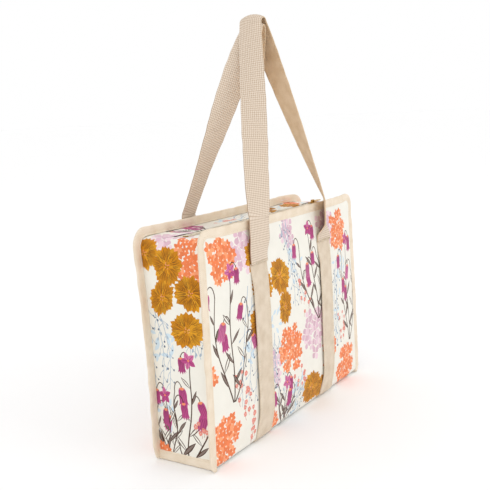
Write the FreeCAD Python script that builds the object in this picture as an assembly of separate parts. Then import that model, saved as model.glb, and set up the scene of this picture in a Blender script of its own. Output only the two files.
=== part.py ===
import FreeCAD, Part
import math
import os

from FreeCAD import Vector

# Knitting bag: a boxed project bag with a printed body, bound seams that stand
# proud, a zipped mouth and two webbing handles.  Millimetres.  X runs along the
# width, the front faces -Y, Z is up.  The origin is the middle of the underside.

# Body
body_width = 400.0            # between the outer faces of the side gussets
body_depth = 98.0             # between the outer faces of the front and back
body_height = 285.0           # from the floor to the top face of the closed mouth
corner_radius = 12.0          # outer face of a gusset where it turns onto the top
fold_radius = 8.0             # outer face of the body cloth where it turns under
cloth = 1.2                   # printed canvas with its fused backing
lining_cloth = 0.6
board_thickness = 2.0
board_margin = 1.0
nap = 0.2                     # clearance between layers that lie on each other

# Bound seams
seam_width = 12.0             # how far a bound seam stands out of the body
seam_allowance = 10.0         # how far the cloth edges reach into the binding
binding_cloth = 0.6

# Tapes and handles
tape_width = 40.0
tape_thickness = 1.4
tape_spacing = 184.0          # between the centre lines of the two tapes
webbing_thickness = 2.2
grip_width = 34.0             # the webbing cups a little where it is pulled up
handle_rise = 275.0           # top of the front handle above the closed mouth
handle_shift = 4.0            # the grip hangs a little to the right of the middle
handle_lean = 3.0             # and a little towards the front
sewn_drop = 57.0              # lower end of the sewn webbing below the mouth
fold_drop = 39.0              # line where the handle folds outward, below the mouth
stand_off = 4.5               # slack webbing stands off the panel between fold and top
grip_half_bend = 10.0         # half the width of the front handle's turn at the grip
nest_gap = 10.0               # the back handle's turn lies this far under the front's
nest_side_gap = 4.0           # and its legs this far inside the front's
flange_clearance = 3.0        # the legs straighten this far above the bound seam
foot_lift = 2.5               # and stand this far out from their fold line there
narrowing = 4.0               # they cup to the grip's width in one part in this many
early_turn = 1.45             # a leg turns faster at its foot than an even turn would
leg_steps = 14                # sections in a straight leg
bend_steps = 8                # and in the turn at the grip
thread = 0.4
stitch_inset = 3.0            # the box of stitches lies this far inside a sewn end
stitch_line = 0.8

# Mouth and zip
mouth_length = 300.0          # length of the strips that lift
zip_gap = 22.0                # open width between the two printed strips
zip_tape_width = 15.0
zip_tape_thickness = 0.6
zip_end_length = 34.0         # zip that runs on into each gusset
coil_width = 2.4
coil_height = 1.6
coil_gap = 1.6                # between the two coils, filled by the slider's wedge
lift_gap = 0.4                # round a strip that lifts
slider_length = 12.0
slider_width = 10.0
slider_plate = 1.3
slider_clearance = 0.3
slider_place = 165.0          # slider's centre, from the middle, when zipped shut
stop_length = 3.0
pull_length = 24.0
pull_width = 7.0
pull_thickness = 1.2
pull_start = 6.0              # the tab's solid part starts this far from its pin
pull_window = 4.4             # width between the arms that reach the pin
bridge_length = 6.8
bridge_width = 2.6
bridge_wall = 1.0
bridge_room = 1.8             # above the pin's axis
wedge_length = 4.0            # joins the slider's two plates

# Worked out from the sizes above
half_width = body_width / 2
half_depth = body_depth / 2
half_mouth = mouth_length / 2
base_level = tape_thickness
panel_inner = half_depth - cloth
seam_inner = panel_inner - cloth
binding_outer = half_depth + binding_cloth
binding_inner = seam_inner - binding_cloth
mouth_under = body_height - cloth
board_top = base_level + cloth + nap + board_thickness
lining_outer = panel_inner - nap
lining_base = board_top + nap
tape_face = half_depth + tape_thickness
fold_y = tape_face + webbing_thickness / 2
fold_z = body_height - fold_drop
sewn_low = body_height - sewn_drop
fold_clearance = 2.1 * webbing_thickness    # a leg folded right down clears its sewn end
sewn_high = fold_z - fold_clearance
lift_edge = binding_inner - lift_gap
lift_axis_y = lift_edge - cloth / 2
lift_axis_z = body_height - cloth / 2
coil_inner = coil_gap / 2
coil_outer = coil_inner + coil_width
coil_top = mouth_under + coil_height
zip_under = mouth_under - zip_tape_thickness
slider_under = zip_under - slider_clearance
slider_over = coil_top + slider_clearance
slider_top = slider_over + slider_plate
pull_axis_z = slider_top + pull_thickness

pieces = {}


def box(x0, x1, y0, y1, z0, z1):
    """A box from its limits along each axis."""
    low = Vector(min(x0, x1), min(y0, y1), min(z0, z1))
    return Part.makeBox(abs(x1 - x0), abs(y1 - y0), abs(z1 - z0), low)


def arch(offset, y0, y1, bottom=base_level):
    """A slab across the bag's width, square at the foot and rounded at the top
    corners, that stands out of the gussets' outer face by offset."""
    w = half_width + offset
    top = body_height + offset
    r = corner_radius + offset
    diagonal = r * math.sqrt(0.5)
    y = min(y0, y1)
    foot = [Vector(-w, y, bottom), Vector(w, y, bottom)]
    right = [
        Vector(w, y, top - r),
        Vector(w - r + diagonal, y, top - r + diagonal),
        Vector(w - r, y, top),
    ]
    left = [
        Vector(-w + r, y, top),
        Vector(-w + r - diagonal, y, top - r + diagonal),
        Vector(-w, y, top - r),
    ]
    edges = [
        Part.makeLine(foot[0], foot[1]),
        Part.makeLine(foot[1], right[0]),
        Part.Arc(*right).toShape(),
        Part.makeLine(right[2], left[0]),
        Part.Arc(*left).toShape(),
        Part.makeLine(left[2], foot[0]),
    ]
    face = Part.Face(Part.Wire(edges))
    return face.extrude(Vector(0, abs(y1 - y0), 0))


def ring(outer, inner, y0, y1, bottom=base_level):
    """The sheet between two arches: it goes up one side, over and down."""
    below = bottom - 1.0
    return arch(outer, y0, y1, bottom).cut(arch(inner, y0, y1, below))


def trough(outer, radius, floor, thickness, top, x0, x1):
    """A sheet that goes down the front, under the bag and up the back."""
    def side_view(d, r, z):
        k = r * (1 - math.sqrt(0.5))
        points = [Vector(x0, -d, top), Vector(x0, -d, z + r)]
        points += [Vector(x0, -d + k, z + k), Vector(x0, -d + r, z)]
        points += [Vector(x0, d - r, z), Vector(x0, d - k, z + k)]
        points += [Vector(x0, d, z + r), Vector(x0, d, top)]
        edges = [
            Part.makeLine(points[0], points[1]),
            Part.Arc(*points[1:4]).toShape(),
            Part.makeLine(points[3], points[4]),
            Part.Arc(*points[4:7]).toShape(),
            Part.makeLine(points[6], points[7]),
            Part.makeLine(points[7], points[0]),
        ]
        return Part.Face(Part.Wire(edges)).extrude(Vector(x1 - x0, 0, 0))

    solid = side_view(outer, radius, floor)
    return solid.cut(side_view(outer - thickness, radius - thickness, floor + thickness))


def mirrored(shape, normal):
    """The same piece on the other side of the bag."""
    return shape.mirror(Vector(0, 0, 0), normal)


def both_sides(shape):
    """A piece and its mirror image, left and right."""
    return [shape, mirrored(shape, Vector(1, 0, 0))]


def body_wrap():
    """Front, base and back in one length, with edges that enter the bindings."""
    reach = half_width + seam_allowance
    top = body_height + seam_allowance
    sheet = trough(half_depth, fold_radius, base_level, cloth, top, -reach, reach)
    sheet = sheet.common(arch(seam_allowance, -half_depth, half_depth))
    turn = half_depth - fold_radius
    for side in (-1, 1):
        edge = side * (half_width + cloth + nap)
        trim = box(edge, side * (reach + 1), -turn, turn, 0, body_height)
        lip = box(edge, edge - side * cloth, -turn, turn, base_level, base_level + seam_allowance)
        sheet = sheet.cut(trim).fuse(lip)
    return sheet.removeSplitter()


def gusset():
    """The left gusset: up the side, round the corner and along the top to the
    zip, with its seam edges turned out into the two bindings."""
    side = ring(0, -cloth, -panel_inner, panel_inner, base_level + cloth)
    low = base_level + fold_radius
    for face in (-1, 1):
        edge = ring(seam_allowance, -cloth, face * panel_inner, face * seam_inner, low)
        side = side.fuse(edge)
    turn = half_depth - fold_radius
    left = box(-body_width, -half_mouth - lift_gap, -body_depth, body_depth, 0, 2 * body_height)
    piece = side.common(left)
    slot_end = half_mouth + zip_end_length - cloth
    piece = piece.cut(box(-slot_end, 0, -zip_gap / 2, zip_gap / 2, mouth_under - 1, body_height + 1))
    for face in (-1, 1):
        corner = box(-body_width, 0, face * turn, face * body_depth, 0, low)
        piece = piece.cut(corner)
    return piece.removeSplitter()


def seam_edge():
    """The edge of the front mouth strip that stays in the binding."""
    edge = ring(seam_allowance, -cloth, -panel_inner, -seam_inner)
    return edge.common(box(-half_mouth, half_mouth, -body_depth, 0, mouth_under, 2 * body_height))


def binding():
    """Folded tape over the front seam: left edge, top and right edge."""
    low = base_level + fold_radius
    tape = ring(seam_width, nap, -binding_outer, -binding_inner, low)
    slot_depth = seam_allowance + nap
    slot = ring(slot_depth, 0, -half_depth, -seam_inner, low - 1)
    return tape.cut(slot)


def base_binding():
    """Folded tape over the seam at the foot of the left gusset."""
    turn = half_depth - fold_radius
    lip_inner = half_width + nap
    lip_outer = lip_inner + cloth
    low = base_level - binding_cloth
    outer = box(-lip_outer - binding_cloth, -lip_inner, -turn, turn, low, low + seam_width)
    slot = box(-lip_outer, -lip_inner, -turn, turn, base_level, base_level + seam_allowance + nap)
    return outer.cut(slot)


def tape_band():
    """Flat tape that carries the load: up the front, under and up the back."""
    x0 = tape_spacing / 2 - tape_width / 2
    outer = half_depth + tape_thickness
    radius = fold_radius + tape_thickness
    floor = base_level - tape_thickness
    return trough(outer, radius, floor, tape_thickness, sewn_high, x0, x0 + tape_width)


def handle_end():
    """The sewn end of a handle's right leg, on the front."""
    x0 = tape_spacing / 2 - tape_width / 2
    outer = tape_face + webbing_thickness
    return box(x0, x0 + tape_width, -outer, -tape_face, sewn_low, sewn_high)


def handle_stitch():
    """A box of thread that holds one sewn end."""
    x0 = tape_spacing / 2 - tape_width / 2
    inset = stitch_inset
    line = stitch_line
    face = tape_face + webbing_thickness
    outer = box(x0 + inset, x0 + tape_width - inset, -face - thread, -face,
                sewn_low + inset, sewn_high - inset)
    inner = box(x0 + inset + line, x0 + tape_width - inset - line, -face - thread, -face,
                sewn_low + inset + line, sewn_high - inset - line)
    return outer.cut(inner)


def section(centre, tangent, across, width):
    """The webbing's cross-section, square to its path."""
    t = Vector(tangent)
    t.normalize()
    w = Vector(across)
    w = w - t * w.dot(t)
    w.normalize()
    n = t.cross(w)
    a = w * (width / 2)
    b = n * (webbing_thickness / 2)
    corners = [centre + a + b, centre + a - b, centre - a - b, centre - a + b]
    return Part.makePolygon(corners + corners[:1])


def handle_path(face, half_bend, top):
    """Stations along a handle, as centre, direction across and width.  The
    webbing leaves the fold facing out and turns a quarter round on its way up."""
    foot_z = body_height + seam_width + flange_clearance
    shoulder_z = top - half_bend
    foot_y = face * (fold_y + foot_lift)
    slack_y = face * (fold_y + stand_off)
    grip_y = -handle_lean
    stations = []
    for side in (-1, 1):
        leg = []
        x = side * tape_spacing / 2
        across = Vector(-side, 0, 0)
        mid_z = (fold_z + foot_z) / 2
        leg.append((Vector(x, face * fold_y, fold_z), across, tape_width))
        leg.append((Vector(x, slack_y, mid_z), across, tape_width))
        for i in range(leg_steps + 1):
            s = i / leg_steps
            turn = math.radians(90 * (early_turn * s - (early_turn - 1) * s * s))
            point = Vector(
                x + (handle_shift + side * half_bend - x) * s,
                foot_y + (grip_y - foot_y) * s,
                foot_z + (shoulder_z - foot_z) * s,
            )
            width = tape_width + (grip_width - tape_width) * min(1, narrowing * s)
            leg.append((point, Vector(-side * math.cos(turn), -math.sin(turn), 0), width))
        stations.append(leg)
    bend = []
    for i in range(1, bend_steps):
        angle = math.pi * i / bend_steps
        point = Vector(
            handle_shift - half_bend * math.cos(angle),
            grip_y,
            shoulder_z + half_bend * math.sin(angle),
        )
        bend.append((point, Vector(0, -1, 0), grip_width))
    return stations[0] + bend + stations[1][::-1]


def handle(face, half_bend, top):
    """The free part of a handle, with a rolled end at each fold line."""
    path = handle_path(face, half_bend, top)
    wires = []
    for i, (centre, across, width) in enumerate(path):
        before = path[max(i - 1, 0)][0]
        after = path[min(i + 1, len(path) - 1)][0]
        tangent = after - before
        wires.append(section(centre, tangent, across, width))
    solid = Part.makeLoft(wires, True, True)
    for side in (-1, 1):
        x0 = side * tape_spacing / 2 - tape_width / 2
        start = Vector(x0, face * fold_y, fold_z)
        roll = Part.makeCylinder(webbing_thickness / 2, tape_width, start, Vector(1, 0, 0))
        solid = solid.fuse(roll)
    return solid


def mouth_strip():
    """The printed front half of the mouth, with a rolled edge at its fold."""
    strip = box(-half_mouth, half_mouth, -lift_axis_y, -zip_gap / 2, mouth_under, body_height)
    start = Vector(-half_mouth, -lift_axis_y, lift_axis_z)
    roll = Part.makeCylinder(cloth / 2, mouth_length, start, Vector(1, 0, 0))
    return strip.fuse(roll).removeSplitter()


def zip_tape(x0, x1):
    """The front zip tape between two places along the zip."""
    return box(x0, x1, -coil_inner - zip_tape_width, -coil_inner, zip_under, mouth_under)


def zip_coil(x0, x1):
    """The coil along the edge of the front zip tape."""
    return box(x0, x1, -coil_outer, -coil_inner, mouth_under, coil_top)


def zip_ends():
    """The four ends of the zip, past the strips that lift."""
    start = half_mouth + lift_gap
    stop_place = slider_place + slider_length / 2 + slider_clearance
    one = zip_tape(start, half_mouth + zip_end_length).fuse(zip_coil(start, stop_place))
    one = one.removeSplitter()
    solids = both_sides(one)
    solids += [mirrored(s, Vector(0, 1, 0)) for s in solids]
    return Part.makeCompound(solids)


def zip_stops():
    """Two top stops at the closed end and one bottom stop at the other."""
    start = slider_place + slider_length / 2 + 2 * slider_clearance
    end = start + stop_length
    top = box(start, end, -coil_outer, -coil_inner, mouth_under, coil_top)
    bottom = box(-end, -start, -coil_outer, coil_outer, mouth_under, coil_top)
    return Part.makeCompound([top, mirrored(top, Vector(0, 1, 0)), bottom])


def slider():
    """Two plates joined by a wedge, with lips over the tapes and a bridge."""
    x0 = slider_place - slider_length / 2
    x1 = slider_place + slider_length / 2
    y = slider_width / 2
    body = box(x0, x1, -y, y, slider_over, slider_top)
    body = body.fuse(box(x0, x1, -y, y, slider_under - slider_plate, slider_under))
    wedge = coil_inner - slider_clearance
    body = body.fuse(box(x1 - wedge_length, x1, -wedge, wedge, slider_under, slider_over))
    lip_low = mouth_under + slider_clearance
    lip = y - coil_outer - slider_clearance
    for side in (-1, 1):
        body = body.fuse(box(x0, x1, side * y, side * (y - lip), lip_low, slider_over))
    bridge_half = bridge_length / 2
    top = pull_axis_z + bridge_room
    bridge = box(slider_place - bridge_half, slider_place + bridge_half,
                 -bridge_width / 2, bridge_width / 2, slider_top, top + bridge_wall)
    hole = box(slider_place - bridge_half + bridge_wall, slider_place + bridge_half - bridge_wall,
               -bridge_width, bridge_width, slider_top, top)
    return body.fuse(bridge.cut(hole)).removeSplitter()


def pull():
    """The tab, on a cross pin that turns under the slider's bridge."""
    z0 = pull_axis_z - pull_thickness / 2
    z1 = pull_axis_z + pull_thickness / 2
    half = pull_width / 2
    frame = box(slider_place, slider_place + pull_length, -half, half, z0, z1)
    window = box(slider_place - 1, slider_place + pull_start, -pull_window / 2, pull_window / 2, z0, z1)
    tab = frame.cut(window)
    pin = Part.makeCylinder(pull_thickness / 2, pull_width,
                            Vector(slider_place, -half, pull_axis_z), Vector(0, 1, 0))
    end_round = Part.makeCylinder(half, pull_thickness,
                                  Vector(slider_place + pull_length - half, 0, z0))
    nose = box(slider_place + pull_length - half, slider_place + pull_length, -half, half, z0, z1)
    return tab.cut(nose).fuse([end_round, pin]).removeSplitter()


def lining_body():
    """Lining of the front, base and back in one length."""
    inset = -cloth - nap
    radius = fold_radius - cloth
    reach = half_width + inset
    sheet = trough(lining_outer, radius, lining_base, lining_cloth, body_height, -reach, reach)
    room = arch(inset - lining_cloth, -half_depth, half_depth, lining_base)
    return sheet.common(room)


def lining_gusset():
    """Lining of the left gusset, inside the body lining."""
    inset = -cloth - nap
    inner = lining_outer - lining_cloth - nap
    low = lining_base + fold_radius
    sheet = ring(inset, inset - lining_cloth, -inner, inner, low)
    left = box(-body_width, -half_mouth - zip_end_length - nap, -half_depth, half_depth, 0, body_height)
    return sheet.common(left)


def base_board():
    """Stiff board between the base cloth and the lining."""
    reach = half_width - cloth - board_margin
    turn = half_depth - fold_radius
    z0 = base_level + cloth + nap
    return box(-reach, reach, -turn, turn, z0, z0 + board_thickness)


def build():
    """Make every piece and give it its name."""
    across_x = Vector(1, 0, 0)
    across_y = Vector(0, 1, 0)
    pieces["body_wrap"] = body_wrap()
    for name, make in (("side_gusset", gusset), ("base_binding", base_binding),
                       ("lining_gusset", lining_gusset)):
        left = make()
        pieces[name + "_left"] = left
        pieces[name + "_right"] = mirrored(left, across_x)
    band = tape_band()
    pieces["tape_band_right"] = band
    pieces["tape_band_left"] = mirrored(band, across_x)
    front_pieces = {
        "binding": binding(),
        "mouth_seam_edge": seam_edge(),
        "mouth_strip": mouth_strip(),
        "zip_tape": zip_tape(-half_mouth, half_mouth),
        "zip_coil": zip_coil(-half_mouth, half_mouth),
        "handle_ends": Part.makeCompound(both_sides(handle_end())),
        "handle_stitching": Part.makeCompound(both_sides(handle_stitch())),
    }
    for name, shape in front_pieces.items():
        pieces[name + "_front"] = shape
        pieces[name + "_back"] = mirrored(shape, across_y)
    top = body_height + handle_rise
    pieces["handle_front"] = handle(-1, grip_half_bend, top)
    pieces["handle_back"] = handle(1, grip_half_bend - nest_side_gap, top - nest_gap)
    pieces["zip_ends"] = zip_ends()
    pieces["zip_stops"] = zip_stops()
    pieces["zip_slider"] = slider()
    pieces["zip_pull"] = pull()
    pieces["lining_body"] = lining_body()
    pieces["base_board"] = base_board()


build()
os.makedirs("parts", exist_ok=True)
for node, shape in pieces.items():
    shape.exportStep("parts/" + node + ".step")
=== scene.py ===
import math
import random

import bpy
import numpy as np
from mathutils import Matrix, Vector
from mathutils.geometry import delaunay_2d_cdt


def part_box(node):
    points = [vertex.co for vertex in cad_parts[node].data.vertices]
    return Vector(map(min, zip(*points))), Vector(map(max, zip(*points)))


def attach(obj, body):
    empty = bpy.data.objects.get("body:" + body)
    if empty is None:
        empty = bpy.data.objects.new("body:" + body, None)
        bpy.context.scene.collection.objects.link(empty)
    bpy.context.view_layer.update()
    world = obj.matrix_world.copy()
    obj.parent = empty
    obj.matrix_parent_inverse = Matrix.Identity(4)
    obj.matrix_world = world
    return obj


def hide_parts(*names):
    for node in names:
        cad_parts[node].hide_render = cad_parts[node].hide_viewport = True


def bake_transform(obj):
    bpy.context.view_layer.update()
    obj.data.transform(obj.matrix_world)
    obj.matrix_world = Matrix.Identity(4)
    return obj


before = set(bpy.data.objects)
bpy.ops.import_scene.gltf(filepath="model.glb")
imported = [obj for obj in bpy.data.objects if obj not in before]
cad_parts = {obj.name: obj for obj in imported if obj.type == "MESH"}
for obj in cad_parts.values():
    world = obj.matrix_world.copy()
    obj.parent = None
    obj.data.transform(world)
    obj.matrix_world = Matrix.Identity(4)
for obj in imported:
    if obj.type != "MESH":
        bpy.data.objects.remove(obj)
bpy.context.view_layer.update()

# Knitting bag: a boxed bag of printed canvas with bound seams that stand proud,
# cotton tape under and up both faces, two basket-weave handles and a zipped mouth.
# Lengths are in millimetres until a mesh is made.  X is the width, the front faces
# -Y and Z is up.

MM = 0.001


def corners(node):
    """Lowest and highest corner of a frame node, in millimetres."""
    low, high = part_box(node)
    return np.array(low) / MM, np.array(high) / MM


# ---------------------------------------------------------------- sizes
seam_width = 12.0             # how far a bound seam stands out of the body
cloth = 1.2                   # printed canvas with its backing
tape_thickness = 1.4
webbing = 2.2                 # thickness of the handle webbing
weave_pitch = 3.0             # knuckle to knuckle in the webbing
corner_radius = 12.0          # the gusset's turn onto the top
fold_radius = 8.0             # the body cloth's turn under the bag
fold_z = 246.0                # the handles fold outward here
seam_tuck = 0.5               # a mouth strip goes this far into its seam
cloth_hidden = 6.0            # the body cloth goes this far into the bindings
foot_overlap = 0.4            # and only this far past the gussets under the bag
gusset_margin = 1.4           # a gusset stops this far short of the front and back
gusset_end_gap = 0.4          # and this far short of the mouth
slot_start_gap = 5.2          # its slot for the zip begins this far along the top
edge_curl = 2.2               # how far a tape's left edge stands off the front
curl_start = 0.45             # share of the half width where that begins
coil_pitch = 2.0
coil_wire = 0.32              # radius of the coil's wire
thread_width = 0.7
stitch_length = 3.0
stitch_pitch = 4.0

binding_low, binding_high = corners("binding_front")
band_low, band_high = corners("tape_band_right")
strip_low, strip_high = corners("mouth_strip_front")
end_low, end_high = corners("handle_ends_front")
coil_low, coil_high = corners("zip_coil_front")
zip_tape_low, zip_tape_high = corners("zip_tape_front")
_, ends_high = corners("zip_ends")
stops_low, _ = corners("zip_stops")
foot_low, foot_high = corners("base_binding_left")
lining_low, lining_high = corners("lining_body")
lining_side_low, lining_side_high = corners("lining_gusset_left")
_, handle_high = corners("handle_front")
_, back_handle_high = corners("handle_back")

seam_middle = abs(binding_low[1] + binding_high[1]) / 2
seam_half = (binding_high[1] - binding_low[1]) / 2
half_width = binding_high[0] - seam_width
top_level = strip_high[2]
half_mouth = strip_high[0]
half_zip_gap = -strip_high[1]
strip_width = -strip_low[1] - half_zip_gap + seam_tuck
tape_width = band_high[0] - band_low[0]
tape_centre = (band_high[0] + band_low[0]) / 2
tape_top = band_high[2]
half_depth = band_high[1] - tape_thickness
base_level = band_low[2] + tape_thickness
fold_y = half_depth + tape_thickness + webbing / 2
turn_y = half_depth - fold_radius
face_height = top_level - base_level - fold_radius
fold_length = math.pi / 2 * fold_radius
wrap_length = 2 * (face_height + fold_length + turn_y)
side_foot = base_level + cloth
side_height = top_level - corner_radius - side_foot
corner_length = math.pi / 2 * corner_radius
lining_inset = half_depth - lining_high[1]
lining_rise = lining_low[2] - base_level
gusset_length = side_height + corner_length + half_width - corner_radius - half_mouth

# How the filled bag differs from its straight pattern
foot_spread = 3.5             # each side goes out at the foot
mouth_draw = 2.5              # and comes in at the top
foot_draw = 8.0               # the back comes in at the ends of its foot
mouth_flare = 3.5             # and goes out at the ends of its top
end_sway = 4.0                # the top of each end leans to the back
back_pinch = 3.0              # the back seams draw in at mid height
corner_draw = 12.0            # the right top corner of the back is pulled forward
corner_push = 1.0             # the top corners stand up and out
corner_bias = 2.4             # the front ones more than the back ones
corner_reach = 14.0           # as far from the corner as this
sway_start = 110.0            # the ends of a face begin here, from the middle
settle_frames = 24
most_move = 7.0               # the stiff canvas never moves further than this
cloth_step = 8.0              # spacing of the finished cloth's own points
wrap_step = 10.0              # spacing of the settling cloth's points
gusset_step = 7.0
air_push = 1.4                # outward pressure of what the bag holds
cut_slack = 0.001             # the cloth is cut larger than its place by this share


# ---------------------------------------------------------------- colours
def linear(code):
    """An sRGB hex colour as linear red, green, blue and alpha."""
    parts = [int(code[i:i + 2], 16) / 255 for i in (1, 3, 5)]
    return [p / 12.92 if p <= 0.04045 else ((p + 0.055) / 1.055) ** 2.4 for p in parts] + [1.0]


def toned(code, amount):
    """The same hex colour, lighter or darker by a share."""
    parts = [int(code[i:i + 2], 16) * (1 + amount) for i in (1, 3, 5)]
    return "#" + "".join("%02X" % max(0, min(255, round(p))) for p in parts)


ground = "#F0EDE3"
mustard = "#CB8308"
mustard_dark = "#7E4E0A"
mustard_light = "#DC9A1E"
coral = "#EE8250"
coral_light = "#FAA274"
coral_gap = "#FFD9BE"
lilac = "#DDB8C6"
lilac_light = "#EBCFD8"
magenta = "#B54882"
magenta_light = "#CB6C9A"
magenta_dark = "#742850"
calyx = "#EE8E66"
stem_brown = "#4A2D20"
leaf_grey = "#84746C"
sprig_blue = "#A5B6C6"
bud_blue = "#4F6078"
wash_blue = "#CFE0EA"
salmon = "#E58E80"


# ---------------------------------------------------------------- materials
def add(tree, kind, inputs=None, **settings):
    """Add one node, with its settings, its values and the links into it."""
    made = tree.nodes.new(kind)
    for name, value in settings.items():
        setattr(made, name, value)
    for socket, value in (inputs or {}).items():
        if isinstance(value, bpy.types.NodeSocket):
            tree.links.new(value, made.inputs[socket])
        else:
            made.inputs[socket].default_value = value
    return made


def start_material(name):
    """An empty material, and the node tree in it."""
    material = bpy.data.materials.new(name)
    material.use_nodes = True
    material.node_tree.nodes.clear()
    return material, material.node_tree


def finish_material(tree, inputs):
    """Send a cloth, plastic or metal surface to the output."""
    surface = add(tree, "ShaderNodeBsdfPrincipled", inputs)
    add(tree, "ShaderNodeOutputMaterial", {"Surface": surface.outputs["BSDF"]})


def shade(ramp, dark, dark_end, light, light_start):
    """Two tones for a colour ramp, and the values where each is reached."""
    for element, tone, value in zip(ramp.color_ramp.elements, (dark, light), (dark_end, light_start)):
        element.position = value
        element.color = linear(tone)


def cotton_surface(tree, colour, roughness, sheen, bump):
    """Cotton: matt, with a weak soft shine from its loose fibres."""
    finish_material(tree, {"Base Color": colour, "Roughness": roughness, "Specular IOR Level": 0.25,
                           "Sheen Weight": sheen, "Sheen Roughness": 0.5,
                           "Normal": bump.outputs[0]})


def thread_waves(tree, across, along):
    """Two waves, one per thread direction, with those spacings in millimetres."""
    place = add(tree, "ShaderNodeAttribute", attribute_name="cloth_mm")
    split = add(tree, "ShaderNodeSeparateXYZ", {0: place.outputs["Vector"]})
    waves = []
    for axis, spacing in (("X", across), ("Y", along)):
        angle = add(tree, "ShaderNodeMath", {0: split.outputs[axis], 1: math.pi / spacing},
                    operation="MULTIPLY")
        sine = add(tree, "ShaderNodeMath", {0: angle.outputs[0]}, operation="SINE")
        waves.append(sine.outputs[0])
    return place.outputs["Vector"], waves


def woven_bump(tree, waves, place, depth):
    """Plain weave: threads pass over and under, with uneven thickness."""
    over = add(tree, "ShaderNodeMath", {0: waves[0], 1: waves[1]}, operation="MULTIPLY")
    slub = add(tree, "ShaderNodeTexNoise", {"Vector": place, "Scale": 0.35, "Detail": 2.0})
    height = add(tree, "ShaderNodeMath", {0: over.outputs[0], 1: slub.outputs["Fac"]},
                 operation="ADD")
    return add(tree, "ShaderNodeBump", {"Height": height.outputs[0], "Strength": 0.45,
                                        "Distance": depth * MM})


def printed_canvas():
    """Cotton canvas, screen printed: matt, with ink that sits in a plain weave and is painted
    a little darker and lighter where threads cross, painted shade and light of the weave.
    Real threads are 0.5 mm apart; they are drawn 1.1 mm apart so that the weave shows."""
    material, tree = start_material("printed_canvas")
    ink = add(tree, "ShaderNodeAttribute", attribute_name="ink")
    place, waves = thread_waves(tree, 1.1, 1.1)
    over = add(tree, "ShaderNodeMath", {0: waves[0], 1: waves[1]}, operation="MULTIPLY")
    cloudy = add(tree, "ShaderNodeTexNoise", {"Vector": place, "Scale": 0.045, "Detail": 3.0})
    # painted shade and light of the weave: the ink is made a little darker or lighter in a checker
    # where threads cross
    light = add(tree, "ShaderNodeMapRange", {"Value": over.outputs[0], "From Min": -1.0,
                                             "From Max": 1.0, "To Min": 0.965, "To Max": 1.02})
    soft = add(tree, "ShaderNodeMapRange", {"Value": cloudy.outputs["Fac"], "From Min": 0.3,
                                            "From Max": 0.7, "To Min": 0.97, "To Max": 1.02})
    both = add(tree, "ShaderNodeMath", {0: light.outputs[0], 1: soft.outputs[0]},
               operation="MULTIPLY")
    shaded = add(tree, "ShaderNodeVectorMath", {0: ink.outputs["Color"],
                                                "Scale": both.outputs[0]}, operation="SCALE")
    bump = woven_bump(tree, waves, place, 0.12)
    cotton_surface(tree, shaded.outputs[0], 0.86, 0.12, bump)
    return material


def plain_cloth(name, light, dark, spacing, depth):
    """A plain woven cotton: matt, a little uneven in tone, with painted shade between threads.
    Spacing is from thread to thread and depth is how deep the weave is, in millimetres;
    both are about twice the real ones, so that the weave shows."""
    material, tree = start_material(name)
    place, waves = thread_waves(tree, spacing, spacing)
    over = add(tree, "ShaderNodeMath", {0: waves[0], 1: waves[1]}, operation="MULTIPLY")
    patchy = add(tree, "ShaderNodeTexNoise", {"Vector": place, "Scale": 0.06, "Detail": 4.0})
    # the weave checker adds painted shade and light of the threads; the patchy noise is the cloth's own
    # uneven tone
    mixed = add(tree, "ShaderNodeMath", {0: over.outputs[0], 1: 0.22, 2: patchy.outputs["Fac"]},
                operation="MULTIPLY_ADD")
    colour = add(tree, "ShaderNodeValToRGB", {"Fac": mixed.outputs[0]})
    shade(colour, dark, 0.2, light, 0.7)
    bump = woven_bump(tree, waves, place, depth)
    cotton_surface(tree, colour.outputs[0], 0.88, 0.15, bump)
    return material


def cotton_webbing():
    """Heavy basket-weave cotton webbing: pale raised knuckles on a 3 mm grid with
    painted brown shade in the holes between them."""
    material, tree = start_material("basket_weave_webbing")
    place, waves = thread_waves(tree, weave_pitch, weave_pitch)
    heights = []
    for wave in waves:
        turned = add(tree, "ShaderNodeMath", {0: wave}, operation="ABSOLUTE")
        heights.append(turned.outputs[0])
    knuckle = add(tree, "ShaderNodeMath", {0: heights[0], 1: heights[1]}, operation="MULTIPLY")
    fibre = add(tree, "ShaderNodeTexNoise", {"Vector": place, "Scale": 1.4, "Detail": 3.0})
    mixed = add(tree, "ShaderNodeMath", {0: fibre.outputs["Fac"], 1: 0.35, 2: knuckle.outputs[0]},
                operation="MULTIPLY_ADD")
    # the brown tone in the holes is painted shade; the fibre noise is the webbing's own uneven tone
    colour = add(tree, "ShaderNodeValToRGB", {"Fac": mixed.outputs[0]})
    shade(colour, "#B9A188", 0.18, "#E6D6C4", 0.62)
    bump = add(tree, "ShaderNodeBump", {"Height": mixed.outputs[0], "Strength": 0.5,
                                        "Distance": 0.4 * MM})
    cotton_surface(tree, colour.outputs[0], 0.85, 0.15, bump)
    return material


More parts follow.
